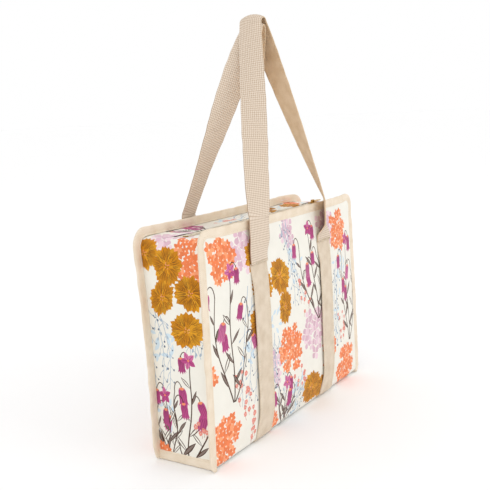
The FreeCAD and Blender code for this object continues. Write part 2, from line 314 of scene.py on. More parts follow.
def grain_material(name, light, dark, scale, roughness, metallic=0.0, bump_depth=0.05, ior=1.5):
    """Something with a fine even grain, such as nylon, pressed board or polished
    brass.  Scale is in grains per metre."""
    material, tree = start_material(name)
    place = add(tree, "ShaderNodeTexCoord")
    grain = add(tree, "ShaderNodeTexNoise", {"Vector": place.outputs["Object"],
                                             "Scale": scale, "Detail": 4.0})
    colour = add(tree, "ShaderNodeValToRGB", {"Fac": grain.outputs["Fac"]})
    shade(colour, dark, 0.3, light, 0.7)
    rough = add(tree, "ShaderNodeMapRange", {"Value": grain.outputs["Fac"],
                                             "To Min": roughness - 0.06,
                                             "To Max": roughness + 0.08})
    bump = add(tree, "ShaderNodeBump", {"Height": grain.outputs["Fac"], "Strength": 0.3,
                                        "Distance": bump_depth * MM})
    inputs = {"Base Color": colour.outputs[0], "Roughness": rough.outputs[0],
              "Metallic": metallic, "Normal": bump.outputs[0]}
    if not metallic:
        inputs["IOR"] = ior
    finish_material(tree, inputs)
    return material


# ---------------------------------------------------------------- meshes
def in_scene(name, data):
    """A new object with that data, in the scene."""
    made = bpy.data.objects.new(name, data)
    bpy.context.scene.collection.objects.link(made)
    return made


def piece(name, points, faces, material, slot, body="bag", instead_of=(), mm=None, smooth=True):
    """Make a mesh piece from points in millimetres, attach it to its body if it has one, and hide the
    frame parts that it takes the place of.
    """
    mesh = bpy.data.meshes.new(name)
    mesh.from_pydata((np.asarray(points, float) * MM).tolist(), [], faces)
    mesh.polygons.foreach_set("use_smooth", [smooth] * len(mesh.polygons))
    if mm is not None:
        layer = mesh.attributes.new("cloth_mm", "FLOAT_VECTOR", "POINT")
        layer.data.foreach_set("vector", np.asarray(mm, np.float32).ravel())
    made = in_scene(name, mesh)
    made.data.materials.append(material)
    if body:
        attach(made, body)
    if instead_of:
        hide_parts(*instead_of)
    return made


def ring_faces(count, size):
    """Faces of a closed tube of count rings with size points each."""
    faces = []
    for i in range(count - 1):
        for j in range(size):
            k = (j + 1) % size
            faces.append((i * size + j, i * size + k, (i + 1) * size + k, (i + 1) * size + j))
    return faces + [tuple(range(size))[::-1], tuple((count - 1) * size + j for j in range(size))]


def grid_faces(rows, columns):
    """Faces of a grid of points that are listed row after row."""
    return [(i * columns + j, (i + 1) * columns + j, (i + 1) * columns + j + 1, i * columns + j + 1)
            for i in range(rows - 1) for j in range(columns - 1)]


def rim(shape):
    """True for the outermost points of a grid."""
    outermost = np.ones(shape, bool)
    outermost[1:-1, 1:-1] = False
    return outermost


def tubes(name, lengths, material, slot, mm=None, **more):
    """One piece of several tubes; each is an array of rings of points."""
    points, faces, start = [], [], 0
    for rings in lengths:
        count, size = rings.shape[:2]
        points.append(rings.reshape(-1, 3))
        faces += [tuple(start + v for v in f) for f in ring_faces(count, size)]
        start += count * size
    if mm is not None:
        mm = np.concatenate([m.reshape(-1, 3) for m in mm])
    return piece(name, np.concatenate(points), faces, material, slot, mm=mm, **more)


def directions(line):
    """Unit directions along a line of points."""
    run = np.gradient(line, axis=0)
    return run / np.linalg.norm(run, axis=1, keepdims=True)


def smoothed(t):
    """0 to 1 with a soft start and end."""
    t = np.clip(t, 0, 1)
    return t * t * (3 - 2 * t)


def settle(points):
    """Where a point of the straight pattern ends up on the filled bag."""
    p = np.array(points, float)
    x, y, z = (p[..., i].copy() for i in range(3))
    side = np.sign(x)
    height = np.clip(z / top_level, 0, 1.05)
    end = smoothed((np.abs(x) - half_mouth) / (half_width - half_mouth))
    panel_end = smoothed((np.abs(x) - sway_start) / (half_width - sway_start))
    p[..., 0] += side * end * (foot_spread - (foot_spread + mouth_draw) * height)
    back = np.clip(y / half_depth, 0, 1)
    sway = end_sway * height ** 2
    draw = foot_draw * (1 - height) + back_pinch * np.sin(math.pi * np.clip(height, 0, 1))
    draw -= mouth_flare * height ** 2
    p[..., 1] += panel_end * (sway - back * draw)
    p[..., 1] -= corner_draw * (side > 0) * end * back * height ** 3
    from_corner = np.hypot(np.abs(x) - half_width, z - top_level)
    push = np.exp(-(from_corner / corner_reach) ** 2) * (corner_push - corner_bias * y / half_depth)
    p[..., 0] += side * push
    p[..., 2] += push
    return p


def wrap_flat(u, s, inset=0.0, floor_rise=0.0):
    """A place on the straight body cloth, and its outward direction: u is across
    the bag, and s goes down the front, under the bag and up the back."""
    d = half_depth - inset
    r = fold_radius - inset
    low = base_level + floor_rise
    face = top_level - low - r
    arc = math.pi / 2 * r
    half = face + arc + d - r
    from_middle = s - half
    side = np.where(from_middle < 0, -1.0, 1.0)
    q = np.abs(from_middle)
    on_base = q < d - r
    on_face = q > d - r + arc
    angle = np.clip((q - (d - r)) / r, 0, math.pi / 2)
    y = np.where(on_base, q, d - r + r * np.sin(angle))
    z = np.where(on_face, low + r + q - (d - r + arc), low + r - r * np.cos(angle))
    z = np.where(on_base, low, z)
    point = np.stack([u + 0 * s, side * y, z], -1)
    out = np.stack([0 * s, side * np.sin(angle), -np.cos(angle)], -1)
    return point, out


def length_of_wrap(inset, floor_rise):
    """Length of the straight body cloth, or of a lining that far inside it."""
    r = fold_radius - inset
    face = top_level - base_level - floor_rise - r
    return 2 * (face + math.pi / 2 * r + half_depth - inset - r)


def gusset_flat(side, t, v, inset=0.0):
    """A place on a straight gusset, and its outward direction: t goes up the side
    and over onto the top, and v goes from front to back."""
    w = half_width - inset
    top = top_level - inset
    r = corner_radius - inset
    rise = top - r - side_foot
    arc = math.pi / 2 * r
    angle = np.clip((t - rise) / r, 0, math.pi / 2)
    over = np.maximum(t - rise - arc, 0)
    x = w - r + r * np.cos(angle) - over
    z = np.where(t < rise, side_foot + t, top - r + r * np.sin(angle))
    point = np.stack([side * x, v + 0 * t, z], -1)
    out = np.stack([side * np.cos(angle), 0 * t, np.sin(angle)], -1)
    return point, out


def between(field, a, b):
    """Smooth value of a grid of values at fractional places a and b."""
    value = 0
    low_a = np.floor(a).astype(int)
    low_b = np.floor(b).astype(int)
    for i, wa in enumerate(spline_weights(a - low_a)):
        for j, wb in enumerate(spline_weights(b - low_b)):
            row = np.clip(low_a + i - 1, 0, field.shape[0] - 1)
            column = np.clip(low_b + j - 1, 0, field.shape[1] - 1)
            value = value + (wa * wb)[..., None] * field[row, column]
    return value


def spline_weights(f):
    """The four weights of a cubic spline at a share f between two places."""
    return ((1 - f) ** 3 / 6, (3 * f ** 3 - 6 * f ** 2 + 4) / 6,
            (-3 * f ** 3 + 3 * f ** 2 + 3 * f + 1) / 6, f ** 3 / 6)


# ---------------------------------------------------------------- cloth
def relaxed(grid, held, push, seed):
    """Let a grid of cloth settle between its held points.  Gives the way that each
    point moved, in millimetres."""
    rows, columns = grid.shape[:2]
    start = grid.reshape(-1, 3)
    rng = np.random.default_rng(seed)
    begun = start + rng.uniform(-0.3, 0.3, start.shape) * ~held.reshape(-1, 1)
    mesh = bpy.data.meshes.new("settling_cloth")
    mesh.from_pydata((begun * MM).tolist(), [], grid_faces(rows, columns))
    made = in_scene("settling_cloth", mesh)
    group = made.vertex_groups.new(name="held")
    group.add([int(i) for i in np.flatnonzero(held)], 1.0, "REPLACE")
    modifier = made.modifiers.new("Cloth", "CLOTH")
    fabric = modifier.settings
    fabric.quality = 8
    fabric.mass = 0.25
    fabric.tension_stiffness = 25
    fabric.compression_stiffness = 25
    fabric.shear_stiffness = 12
    fabric.bending_stiffness = 1.5
    fabric.vertex_group_mass = "held"
    fabric.use_pressure = True
    fabric.uniform_pressure_force = push
    fabric.shrink_min = -cut_slack
    fabric.effector_weights.gravity = 0.4
    modifier.point_cache.frame_start = 1
    modifier.point_cache.frame_end = settle_frames
    for number in range(1, settle_frames + 1):
        bpy.context.scene.frame_set(number)
    seen = made.evaluated_get(bpy.context.evaluated_depsgraph_get())
    moved = np.zeros(len(start) * 3, np.float32)
    seen.data.vertices.foreach_get("co", moved)
    bpy.context.scene.frame_set(1)
    bpy.data.objects.remove(made)
    bpy.data.meshes.remove(mesh)
    moves = moved.reshape(-1, 3) / MM - start
    size = np.linalg.norm(moves, axis=1, keepdims=True)
    moves *= np.minimum(1, most_move / np.maximum(size, 0.001))
    moves[held.reshape(-1)] = 0
    return moves.reshape(grid.shape)


def wrap_grid():
    """The straight body cloth as a grid, with the points that don't move."""
    count_u = round(2 * half_width / wrap_step) + 1
    count_s = round(wrap_length / wrap_step) + 1
    u, s = np.meshgrid(np.linspace(-half_width, half_width, count_u),
                       np.linspace(0, wrap_length, count_s), indexing="ij")
    grid, _ = wrap_flat(u, s)
    return grid, rim(u.shape) | (grid[..., 2] < base_level + 1)


def gusset_grid(side):
    """A straight gusset as a grid, with the points that don't move."""
    count_t = round(gusset_length / gusset_step) + 1
    count_v = round(2 * half_depth / gusset_step) + 1
    t, v = np.meshgrid(np.linspace(0, gusset_length, count_t),
                       np.linspace(-half_depth, half_depth, count_v), indexing="ij")
    grid, _ = gusset_flat(side, t, v)
    return grid, rim(t.shape) | (np.abs(grid[..., 0]) < half_width - corner_radius - 1)


def place_on_wrap(u, s, lift=0.0, inset=0.0, floor_rise=0.0):
    """A place on the settled body cloth; lift is outward from it."""
    point, out = wrap_flat(u, s, inset, floor_rise)
    share = s * wrap_length / length_of_wrap(inset, floor_rise)
    rows, columns = wrap_moves.shape[:2]
    a = (u + half_width) / (2 * half_width) * (rows - 1)
    b = share / wrap_length * (columns - 1)
    return settle(point + between(wrap_moves, a, b) + out * np.asarray(lift)[..., None])


def place_on_gusset(side, t, v, lift=0.0, inset=0.0):
    """A place on a settled gusset; lift is outward from it."""
    point, out = gusset_flat(side, t, v, inset)
    moves = gusset_moves[side]
    rows, columns = moves.shape[:2]
    a = t / gusset_length * (rows - 1)
    b = (v + half_depth) / (2 * half_depth) * (columns - 1)
    return settle(point + between(moves, a, b) + out * np.asarray(lift)[..., None])


def surface_normals(place, a, b, flip=1.0):
    """The smooth surface's normals at places a, b."""
    h = 0.6
    da = place(a + h, b) - place(a - h, b)
    db = place(a, b + h) - place(a, b - h)
    n = np.cross(da, db) * flip
    return n / np.maximum(np.linalg.norm(n, axis=-1, keepdims=True), 1e-9)


# ---------------------------------------------------------------- flower print
# A motif is a list of (outline, ink) drawn bottom layer first, in millimetres on
# the flat cloth with h upwards.
def leaf(x, y, angle, length, width, belly=1.0, steps=4):
    """Outline of a leaf or petal from x, y; belly above 1 puts the width at the tip."""
    s = np.linspace(0, 1, steps + 2)
    half = width / 2 * np.sin(math.pi * s ** belly)
    along = np.concatenate([s * length, (s * length)[-2:0:-1]])
    across = np.concatenate([half, -half[-2:0:-1]])
    c, n = math.cos(angle), math.sin(angle)
    return np.column_stack([x + along * c - across * n, y + along * n + across * c])


def curve(start, end, bow, count=9):
    """Points of a bowed line between two places."""
    s = np.linspace(0, 1, count)[:, None]
    start, end = np.array(start, float), np.array(end, float)
    run = end - start
    side = np.array([-run[1], run[0]])
    return start + run * s + side * bow * np.sin(math.pi * s)


def stroke(line, thick, thin=None):
    """Outline of a pen stroke along a line."""
    thin = thick if thin is None else thin
    run = directions(line)
    side = np.column_stack([-run[:, 1], run[:, 0]])
    half = np.linspace(thick, thin, len(line))[:, None] / 2
    return np.concatenate([line + side * half, (line - side * half)[::-1]])


def disc(x, y, radius, count=8):
    """Outline of a small round dot."""
    a = np.arange(count) * 2 * math.pi / count
    return np.column_stack([x + radius * np.cos(a), y + radius * np.sin(a)])


def flattened(shapes, x, y, turn, share):
    """Shapes squeezed towards a line through x, y, like a flower seen aslant."""
    c, n = math.cos(turn), math.sin(turn)
    away = np.array([-n, c])
    moved = []
    for outline, ink in shapes:
        off = (outline - (x, y)) @ away
        moved.append((outline - np.outer(off * (1 - share), away), ink))
    return moved


def daisy(rng, x, y, radius):
    """A full mustard flower: a ring of narrow petals with dark veins."""
    shapes = []
    count = 24
    for i in range(count):
        a = 2 * math.pi * (i + rng.uniform(-0.3, 0.3)) / count
        length = radius * rng.uniform(0.88, 1.08)
        ink = toned(rng.choice((mustard, mustard, mustard_light)), rng.uniform(-0.05, 0.03))
        shapes.append((leaf(x, y, a, length, radius * 0.38, 1.7, 5), ink))
    for i in range(3 * count):
        a = 2 * math.pi * (i + rng.uniform(-0.3, 0.3)) / (3 * count)
        near, far = radius * rng.uniform(0.2, 0.6), radius * rng.uniform(0.72, 0.95)
        start = (x + near * math.cos(a), y + near * math.sin(a))
        tip = (x + far * math.cos(a), y + far * math.sin(a))
        shapes.append((stroke(curve(start, tip, 0.04, 3), 0.75, 0.3), mustard_dark))
    for i in range(12):
        a = i * 2.4
        reach = radius * 0.05 * math.sqrt(i + 0.5)
        dot = disc(x + reach * math.cos(a), y + reach * math.sin(a), 0.75, 6)
        shapes.append((dot, (mustard_dark, salmon)[i % 2]))
    return flattened(shapes, x, y, rng.uniform(0, math.pi), rng.uniform(0.68, 1.0))


def floret(rng, x, y, radius, petals, inks, eye, width=0.95, belly=1.5):
    """A small open flower."""
    turn = rng.uniform(0, 6.3)
    shapes = []
    for i in range(petals):
        a = turn + 2 * math.pi * i / petals
        ink = toned(rng.choice(inks), rng.uniform(-0.04, 0.03))
        length = radius * rng.uniform(0.88, 1.15)
        shapes.append((leaf(x, y, a, length, radius * width, belly, 4), ink))
    shapes.append((disc(x, y, radius * 0.16, 6), eye))
    return shapes


def cluster(rng, x, y, radius, size, packed, petals, inks, eye, width, belly):
    """A ragged head of florets that touch one another."""
    shapes = []
    count = max(5, round(packed * (radius / size) ** 2))
    for i in range(count):
        reach = (radius - size * 0.5) * math.sqrt((i + 0.5) / count) * rng.uniform(0.92, 1.08)
        a = 2.39996 * i + rng.uniform(-0.2, 0.2)
        shapes += floret(rng, x + reach * math.cos(a), y + 1.12 * reach * math.sin(a),
                         size * rng.uniform(0.8, 1.15), petals, inks, eye, width, belly)
    return shapes


def coral_head(rng, x, y, radius=28):
    """A dense head of pointed coral florets."""
    return cluster(rng, x, y, radius, 8.0, 1.75, 6, (coral, coral, coral_light), coral_gap, 0.62, 1.15)


def lilac_head(rng, x, y, radius=30):
    """A loose head of broad pale petals."""
    return cluster(rng, x, y, radius, 10.5, 1.5, 4, (lilac, lilac_light, lilac), lilac_light, 0.85, 1.5)


def bell(rng, x, y, angle, length):
    """A bellflower hanging from x, y: a full cup with a toothed rim, veins and calyx."""
    width = length * rng.uniform(0.56, 0.66)
    cup = [(0.0, 0.12), (0.05, 0.3), (0.18, 0.43), (0.4, 0.47), (0.64, 0.42), (0.82, 0.45),
           (1.0, 0.6)]
    rim = [(0.9, 0.38), (1.1, 0.22), (0.93, 0.08), (1.14, -0.06), (0.93, -0.2), (1.08, -0.36),
           (0.9, -0.42)]
    outline = cup + rim + [(a, -b) for a, b in cup[::-1]]
    c, n = math.cos(angle), math.sin(angle)

    def put(pairs):
        p = np.array(pairs) * (length, width)
        return np.column_stack([x + p[:, 0] * c - p[:, 1] * n, y + p[:, 0] * n + p[:, 1] * c])

    ink = toned(rng.choice((magenta, magenta, magenta_light)), rng.uniform(-0.05, 0.05))
    shapes = [(put(outline), ink)]
    for across in (-0.3, -0.1, 0.1, 0.3):
        line = put([(0.14, across * 0.6), (0.5, across), (0.9, across * 1.1)])
        shapes.append((stroke(line, 0.8, 0.35), magenta_dark))
    for spread in (-1.0, -0.35, 0.35, 1.0):
        shapes.append((leaf(x, y, angle + spread, length * 0.2, length * 0.1), calyx))
    shapes.append((leaf(x, y, angle + math.pi, 2.5, 1.6), stem_brown))
    return shapes


def star_flower(rng, x, y, radius):
    """A bellflower that has opened into a five-pointed star."""
    turn = rng.uniform(0, 6.3)
    shapes = []
    for i in range(5):
        a = turn + 2 * math.pi * i / 5
        ink = toned(rng.choice((magenta, magenta_light)), 0.03)
        shapes.append((leaf(x, y, a, radius, radius * 0.62, 0.85), ink))
        tip = (x + 0.8 * radius * math.cos(a), y + 0.8 * radius * math.sin(a))
        shapes.append((stroke(curve((x, y), tip, 0.02, 3), 0.7, 0.4), magenta_dark))
    shapes.append((disc(x, y, radius * 0.14, 6), calyx))
    return shapes


def crook(start, side, reach):
    """A stalk that rises from a stem, bends over and hangs down."""
    a = np.linspace(0, 0.86 * math.pi, 9)
    return np.column_stack([start[0] + side * reach / 2 * (1 - np.cos(a)),
                            start[1] + reach * 0.95 * np.sin(a) + a * 0.6])


def lined_leaf(rng, start, angle, length):
    """A long narrow leaf with a dark edge and a paler middle."""
    width = length * rng.uniform(0.17, 0.24)
    tip = np.array(start) + (1.2 * math.cos(angle), 1.2 * math.sin(angle))
    edge, middle = (stem_brown, leaf_grey) if rng.random() < 0.55 else (stem_brown, ground)
    return [(leaf(*start, angle, length, width), edge),
            (leaf(*tip, angle, length - 3, width * 0.52), middle)]


def bellflower(rng, x, y, height, lean=0.0, spread=26.0, bells=6):
    """A plant: bowed stems with narrow leaves and bells on bent stalks."""
    stems, leaves, flowers = [], [], []
    for k in range(3):
        top = (x + lean * height + spread * (k - 1) * rng.uniform(0.45, 0.8),
               y + height * (0.86, 1.0, 0.72)[k])
        line = curve((x + 1.5 * (k - 1), y), top, rng.uniform(0.05, 0.12) * (1 - k), 14)
        line[:, 0] += 2.2 * np.sin(np.linspace(0, 7 + k, 14))
        stems.append((stroke(line, 2.1, 1.3), stem_brown))
        for i in range(2, 12, 2):
            a = math.pi / 2 + (0.62 if (i // 2 + k) % 2 else -0.62) + rng.uniform(-0.25, 0.25)
            leaves += lined_leaf(rng, line[i], a, rng.uniform(18, 30) * (1.15 - 0.04 * i))
        for i in range(bells // 3):
            side = 1 if (i + k) % 2 else -1
            stalk = crook(line[13 - 5 * i], side, rng.uniform(12, 19))
            stems.append((stroke(stalk, 1.5, 1.2), stem_brown))
            hang = -math.pi / 2 + side * rng.uniform(-0.1, 0.35)
            flowers += bell(rng, stalk[-1][0], stalk[-1][1], hang, rng.uniform(19, 25))
    flowers += star_flower(rng, x + lean * height + 4, y + height * 1.03, 12)
    return stems + leaves + flowers


def sprig(rng, start, end, buds=13):
    """A drift of wandering blue-grey stems with side twigs and round buds."""
    shapes = []
    run = np.array(end, float) - start
    across = np.array([-run[1], run[0]]) / np.linalg.norm(run)
    aim = math.atan2(run[1], run[0])
    for k in range(3):
        off = across * 9 * (k - 1)
        trim = rng.uniform(0, 0.15)
        line = curve(start + off + run * trim, end + off * 1.5, rng.uniform(-0.1, 0.1), 14)
        shapes.append((stroke(line, 1.1, 0.7), sprig_blue))
        for i in range(buds):
            base = line[1 + i % 12]
            a = aim + (0.6 if i % 2 else -0.6) + rng.uniform(-0.3, 0.3)
            length = rng.uniform(7, 14)
            tip = base + (length * math.cos(a), length * math.sin(a))
            shapes.append((stroke(curve(base, tip, 0.1, 4), 0.8, 0.6), sprig_blue))
            if rng.random() < 0.55:
                shapes.append((disc(tip[0], tip[1], rng.uniform(1.0, 1.7), 6), bud_blue))
            else:
                shapes.append((leaf(tip[0], tip[1], a, 6.0, 2.6), sprig_blue))
    return shapes


def wash(rng, x, y, radius):
    """A pale blue patch of loose brush leaves."""
    return [(leaf(x + rng.uniform(-radius, radius), y + rng.uniform(-radius, radius),
                  rng.uniform(0, 6.3), rng.uniform(9, 16), 5.0), wash_blue) for _ in range(14)]


def blossoms(rng, start, end, count=15):
    """Tiny salmon blossoms scattered about a line, each on a thread of stem."""
    shapes = []
    for i in range(count):
        share = (i + 0.5) / count
        x = start[0] + (end[0] - start[0]) * share + rng.uniform(-15, 15)
        y = start[1] + (end[1] - start[1]) * share + rng.uniform(-4, 4)
        foot = (x + rng.uniform(-3, 3), y - rng.uniform(6, 11))
        shapes.append((stroke(curve(foot, (x, y), 0.1, 4), 0.6), toned(salmon, -0.2)))
        shapes += floret(rng, x, y, rng.uniform(2.8, 3.8), 5, (salmon,), ground)
    return shapes


def face_print(rng):
    """The print across one face of the bag, from the foot to the seam."""
    shapes = []
    for x, y in ((-72, 150), (122, 130), (-5, 30), (150, 195), (-5, 225), (-125, 120)):
        shapes += wash(rng, x, y, 24)
    for x, y, radius in ((-128, 262, 30), (50, 112, 36), (104, 262, 28), (-72, 92, 28), (-10, 265, 22)):
        shapes += lilac_head(rng, x, y, radius)
    for start, end in (((-22, 292), (10, 165)), ((-112, 215), (-134, 62)), ((132, 205), (126, 70)),
                       ((-64, 140), (-58, 40)), ((8, 60), (-16, 4))):
        shapes += sprig(rng, start, end)
    for x, y, radius in ((-170, 256, 29), (-182, 34, 30), (-22, 106, 34), (147, 246, 31),
                         (158, 28, 34), (96, 66, 25), (-80, 16, 24), (-205, 120, 16)):
        shapes += coral_head(rng, x, y, radius)
    shapes += blossoms(rng, (-152, 112), (-126, 12), 26)
    shapes += blossoms(rng, (22, 200), (32, 150), 10)
    shapes += blossoms(rng, (-2, 70), (10, 40), 10)
    shapes += blossoms(rng, (140, 120), (150, 75), 12)
    for x, y, radius in ((-95, 252, 27), (-88, 208, 27), (-98, 163, 26), (-40, 213, 28), (-32, 168, 25),
                         (38, 30, 28), (74, 22, 26)):
        shapes += daisy(rng, x, y, radius)
    shapes += bellflower(rng, -162, 76, 160, 0.02, 50, 6)
    shapes += bellflower(rng, 66, 128, 132, -0.16, 42, 6)
    shapes += bellflower(rng, 178, 64, 160, -0.04, 34, 6)
    shapes += bellflower(rng, -42, -2, 62, 0.05, 34, 3)
    return shapes


def side_print(rng):
    """The print up one gusset and over onto the top."""
    shapes = []
    for x, y in ((28, 150), (-10, 330), (34, 60)):
        shapes += wash(rng, x, y, 18)
    shapes += lilac_head(rng, 12, 296, 28)
    shapes += coral_head(rng, -27, 262, 30)
    shapes += coral_head(rng, -34, 322, 18)
    shapes += sprig(rng, (38, 205), (32, 95), 13)
    shapes += sprig(rng, (-24, 190), (-34, 140), 8)
    for x, y, radius in ((42, 266, 24), (8, 252, 25), (20, 212, 26), (-24, 220, 24), (-16, 174, 28)):
        shapes += daisy(rng, x, y, radius)
    shapes += bellflower(rng, -8, -4, 136, -0.08, 50, 6)
    shapes += bellflower(rng, 24, 0, 84, 0.02, 30, 3)
    shapes += blossoms(rng, (-34, 60), (-38, 40), 5)
    shapes += coral_head(rng, 36, 10, 14)
    return shapes


def top_print(rng):
    """The print along one strip of the mouth."""
    shapes = wash(rng, -40, 18, 16) + wash(rng, 120, 18, 16)
    shapes += sprig(rng, (-20, 8), (60, 26), 11)
    shapes += lilac_head(rng, -150, 16, 20)
    shapes += blossoms(rng, (-60, 18), (-20, 18), 9)
    shapes += bellflower(rng, -128, -6, 36, 0.3, 22, 3)
    shapes += daisy(rng, 62, 16, 22)
    shapes += daisy(rng, 92, 28, 16)
    shapes += daisy(rng, 134, 14, 23)
    return shapes


def laid_out(shapes, to_cloth):
    """Motifs moved to the cloth's own directions."""
    return [(to_cloth(outline), ink) for outline, ink in shapes]


def inside(points, outline):
    """Which points lie inside an outline."""
    x, y = points[:, 0:1], points[:, 1:2]
    x0, y0 = outline[:, 0], outline[:, 1]
    x1, y1 = np.roll(x0, -1), np.roll(y0, -1)
    crossing = (y0 > y) != (y1 > y)
    rise = np.where(y1 == y0, 1.0, y1 - y0)
    right = x < x0 + (y - y0) / rise * (x1 - x0)
    return np.count_nonzero(crossing & right, axis=1) % 2 == 1


def topmost(centres, outlines):
    """Number of the last outline that covers each centre, or -1 off the cloth,
    which is the first outline."""
    order = np.argsort(centres[:, 0])
    xs = centres[order, 0]
    top = np.full(len(centres), -1)
    for number, outline in enumerate(outlines):
        low, high = outline.min(axis=0), outline.max(axis=0)
        near = order[np.searchsorted(xs, low[0]):np.searchsorted(xs, high[0])]
        near = near[(centres[near, 1] > low[1]) & (centres[near, 1] < high[1])]
        if number:
            near = near[top[near] >= 0]
        top[near[inside(centres[near], outline)]] = number
    return top


def printed(name, outline, fill, shapes, place, flip, material, slot, **more):
    """A printed panel: its outline and every motif are cut into flat areas of one
    ink, and each point goes to its place on the cloth."""
    outlines = [np.array(outline, float)] + [edge for edge, _ in shapes]
    inks = [linear(ink) for ink in [ground] + [ink for _, ink in shapes]]
    edges, start = [], 0
    for edge in outlines:
        count = len(edge)
        edges += [(start + i, start + (i + 1) % count) for i in range(count)]
        start += count
    points = [Vector(p) for p in np.concatenate(outlines + [fill])]
    found, _, faces, _, _, _ = delaunay_2d_cdt(points, edges, [], 0, 0.005, False)
    flat = np.array([tuple(p) for p in found])
    faces = np.array([tuple(f) for f in faces])
    top = topmost(flat[faces].mean(axis=1), outlines)
    faces, top = faces[top >= 0], top[top >= 0]
    used, faces = np.unique(faces, return_inverse=True)
    faces = faces.reshape(-1, 3)
    flat = flat[used]
    a, b = flat[:, 0], flat[:, 1]
    if flip < 0:
        faces = faces[:, ::-1]
    made = piece(name, place(a, b), faces.tolist(), material, slot,
                 mm=np.column_stack([flat, 0 * a]), **more)
    mesh = made.data
    colours = np.array(inks, np.float32)[top]
    layer = mesh.color_attributes.new("ink", "FLOAT_COLOR", "CORNER")
    layer.data.foreach_set("color", np.repeat(colours, 3, axis=0).ravel())
    mesh.normals_split_custom_set_from_vertices(surface_normals(place, a, b, flip).tolist())
    return made


def grid_points(a_values, b_values):
    """Every pair of the two lists of values."""
    a, b = np.meshgrid(a_values, b_values, indexing="ij")
    return np.column_stack([a.ravel(), b.ravel()])


def dense_near(length, step, bends, fine=1.6):
    """Values from 0 to length, closer together where the cloth turns."""
    values = list(np.arange(step / 2, length, step))
    for start, end in bends:
        values = [v for v in values if v < start - 1 or v > end + 1]
        values += list(np.linspace(start, end, max(2, round((end - start) / fine)) + 1))
    return sorted(values)


def body_cloth():
    """Front, base and back, printed in one length."""
    w = half_width + cloth_hidden
    base_w = half_width + foot_overlap
    round_off = corner_radius + cloth_hidden
    angles = [math.pi / 2 * k / 6 for k in range(7)]
    corner = [(w - round_off + round_off * math.sin(a), corner_radius - round_off * math.cos(a))
              for a in angles]
    outline = []
    for side, start, down in ((-1, 0, 1), (1, wrap_length, -1)):
        along = [down * d for d in (face_height, face_height + 3, wrap_length - face_height - 3,
                                    wrap_length - face_height)]
        outline += [(side * x, start + down * d) for x, d in corner]
        outline += [(side * x, start + d) for x, d in zip((w, base_w, base_w, w), along)]
        outline += [(side * x, wrap_length - start - down * d) for x, d in corner[::-1]]
    rng = random.Random(11)
    front = laid_out(face_print(rng), lambda p: np.column_stack([p[:, 0], top_level - p[:, 1]]))
    back = laid_out(face_print(rng), lambda p: np.column_stack(
        [-p[:, 0], wrap_length - top_level + p[:, 1]]))
    middle = wrap_length / 2
    base = []
    for i, x in enumerate(range(-160, 190, 55)):
        base += (coral_head, lilac_head)[i % 2](rng, x, middle + 6 * (-1) ** i, 22)
    base_half = turn_y + fold_length
    bends = [(middle - base_half, middle - turn_y), (middle + turn_y, middle + base_half)]
    fill = grid_points(np.arange(-half_width + cloth_step / 2, half_width, cloth_step),
                       dense_near(wrap_length, cloth_step, bends))
    made = printed("body_wrap_print", outline, fill, front + back + base, place_on_wrap, -1,
                   canvas, "printed_canvas", instead_of=["body_wrap"])


def gusset_cloth(side, name):
    """One printed gusset, open round the end of the zip."""
    v = half_depth - gusset_margin
    end = gusset_length - gusset_end_gap
    slot_start = gusset_length - (half_width - corner_radius - half_mouth) + slot_start_gap
    outline = [(0, -v), (end, -v), (end, -half_zip_gap), (slot_start, -half_zip_gap),
               (slot_start, half_zip_gap), (end, half_zip_gap), (end, v), (0, v)]
    rng = random.Random(5 if side < 0 else 8)
    shapes = laid_out(side_print(rng), lambda p: np.column_stack(
        [p[:, 1] - side_foot, -side * p[:, 0]]))
    corner = [(side_height, side_height + corner_length)]
    fill = grid_points(dense_near(gusset_length, cloth_step, corner),
                       np.arange(-half_depth + 5, half_depth, cloth_step))
    made = printed(name + "_print", outline, fill, shapes,
                   lambda t, v: place_on_gusset(side, t, v), -side, canvas, "printed_canvas",
                   instead_of=[name])


def strip_place(face, a, b):
    """A place on a mouth strip, folded double: b goes from the seam to the zip, round
    the folded edge and back underneath."""
    r = cloth / 2
    turn = strip_width - r
    angle = np.clip((b - turn) / r, 0, math.pi)
    back = np.maximum(b - turn - math.pi * r, 0)
    y = half_zip_gap + r + np.maximum(turn - b, 0) - r * np.sin(angle) + back
    z = top_level - r + r * np.cos(angle)
    soft = 0.35 * np.sin(a / 17.0) * np.sin(math.pi * np.clip(b / strip_width, 0, 1))
    return np.stack([a + 0 * b, face * y, z + soft], -1)


def mouth_strip_cloth(face, end):
    """One printed strip of the mouth, which folds up at its seam."""
    turn = strip_width - cloth / 2
    around = turn + math.pi * cloth / 2
    whole = around + strip_width - 2
    outline = [(-half_mouth, 0), (half_mouth, 0), (half_mouth, whole), (-half_mouth, whole)]
    rng = random.Random(21 if face < 0 else 22)
    shapes = laid_out(top_print(rng), lambda p: np.column_stack([p[:, 0], strip_width - p[:, 1]]))
    fill = grid_points(np.arange(-half_mouth + cloth_step / 2, half_mouth, cloth_step),
                       list(np.arange(4, turn - 2, 7.0)) + list(np.linspace(turn, around, 5)) +
                       list(np.arange(around + 5, whole, cloth_step)))
    made = printed("mouth_strip_print_" + end, outline, fill, shapes,
                   lambda a, b: strip_place(face, a, b), -face, canvas, "printed_canvas",
                   body=None, instead_of=["mouth_strip_" + end, "mouth_seam_edge_" + end])
    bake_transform(made)


